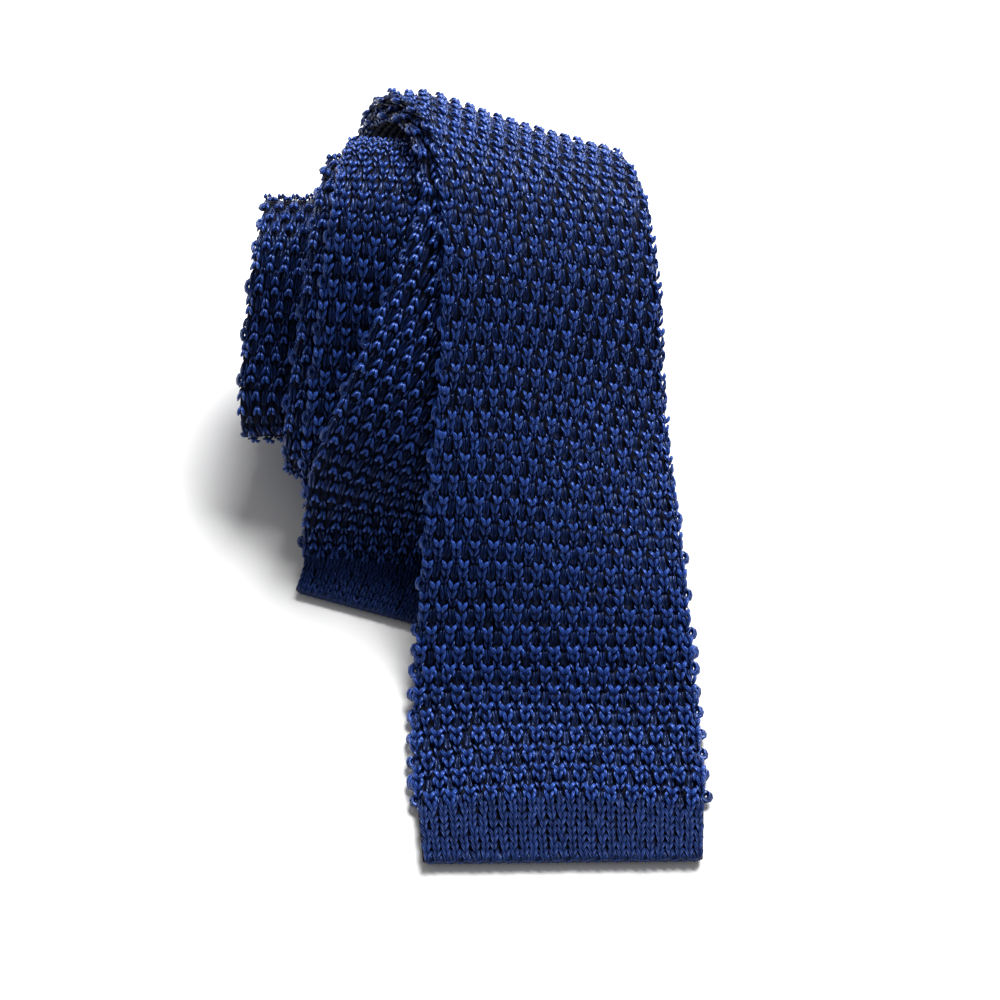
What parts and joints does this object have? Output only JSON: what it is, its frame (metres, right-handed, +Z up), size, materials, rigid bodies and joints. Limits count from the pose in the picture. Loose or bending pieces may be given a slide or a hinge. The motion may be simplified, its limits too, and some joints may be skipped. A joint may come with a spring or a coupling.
{
  "type": "knit tie",
  "caption": "Square-ended knit tie, folded in half and loosely rolled up, its wide end run out over the roll's front and lying flat.",
  "frame": {"origin": "middle of the bounds, on the surface the tie lies on", "axes": "+Z up, +Y from the wide end's hem to the back of the roll, +X to the right when the wide end points at the viewer"},
  "size_m": [0.0998, 0.1798, 0.0725],
  "materials": {
    "knit": "navy silk yarn, knitted in a raised tuck pattern",
    "plain_knit": "navy silk yarn, plain fine knit"
  },
  "bodies": {
    "root": {"knit_body": "knit", "front_hem": "plain_knit", "tail_hem": "plain_knit"}
  },
  "joints": []
}
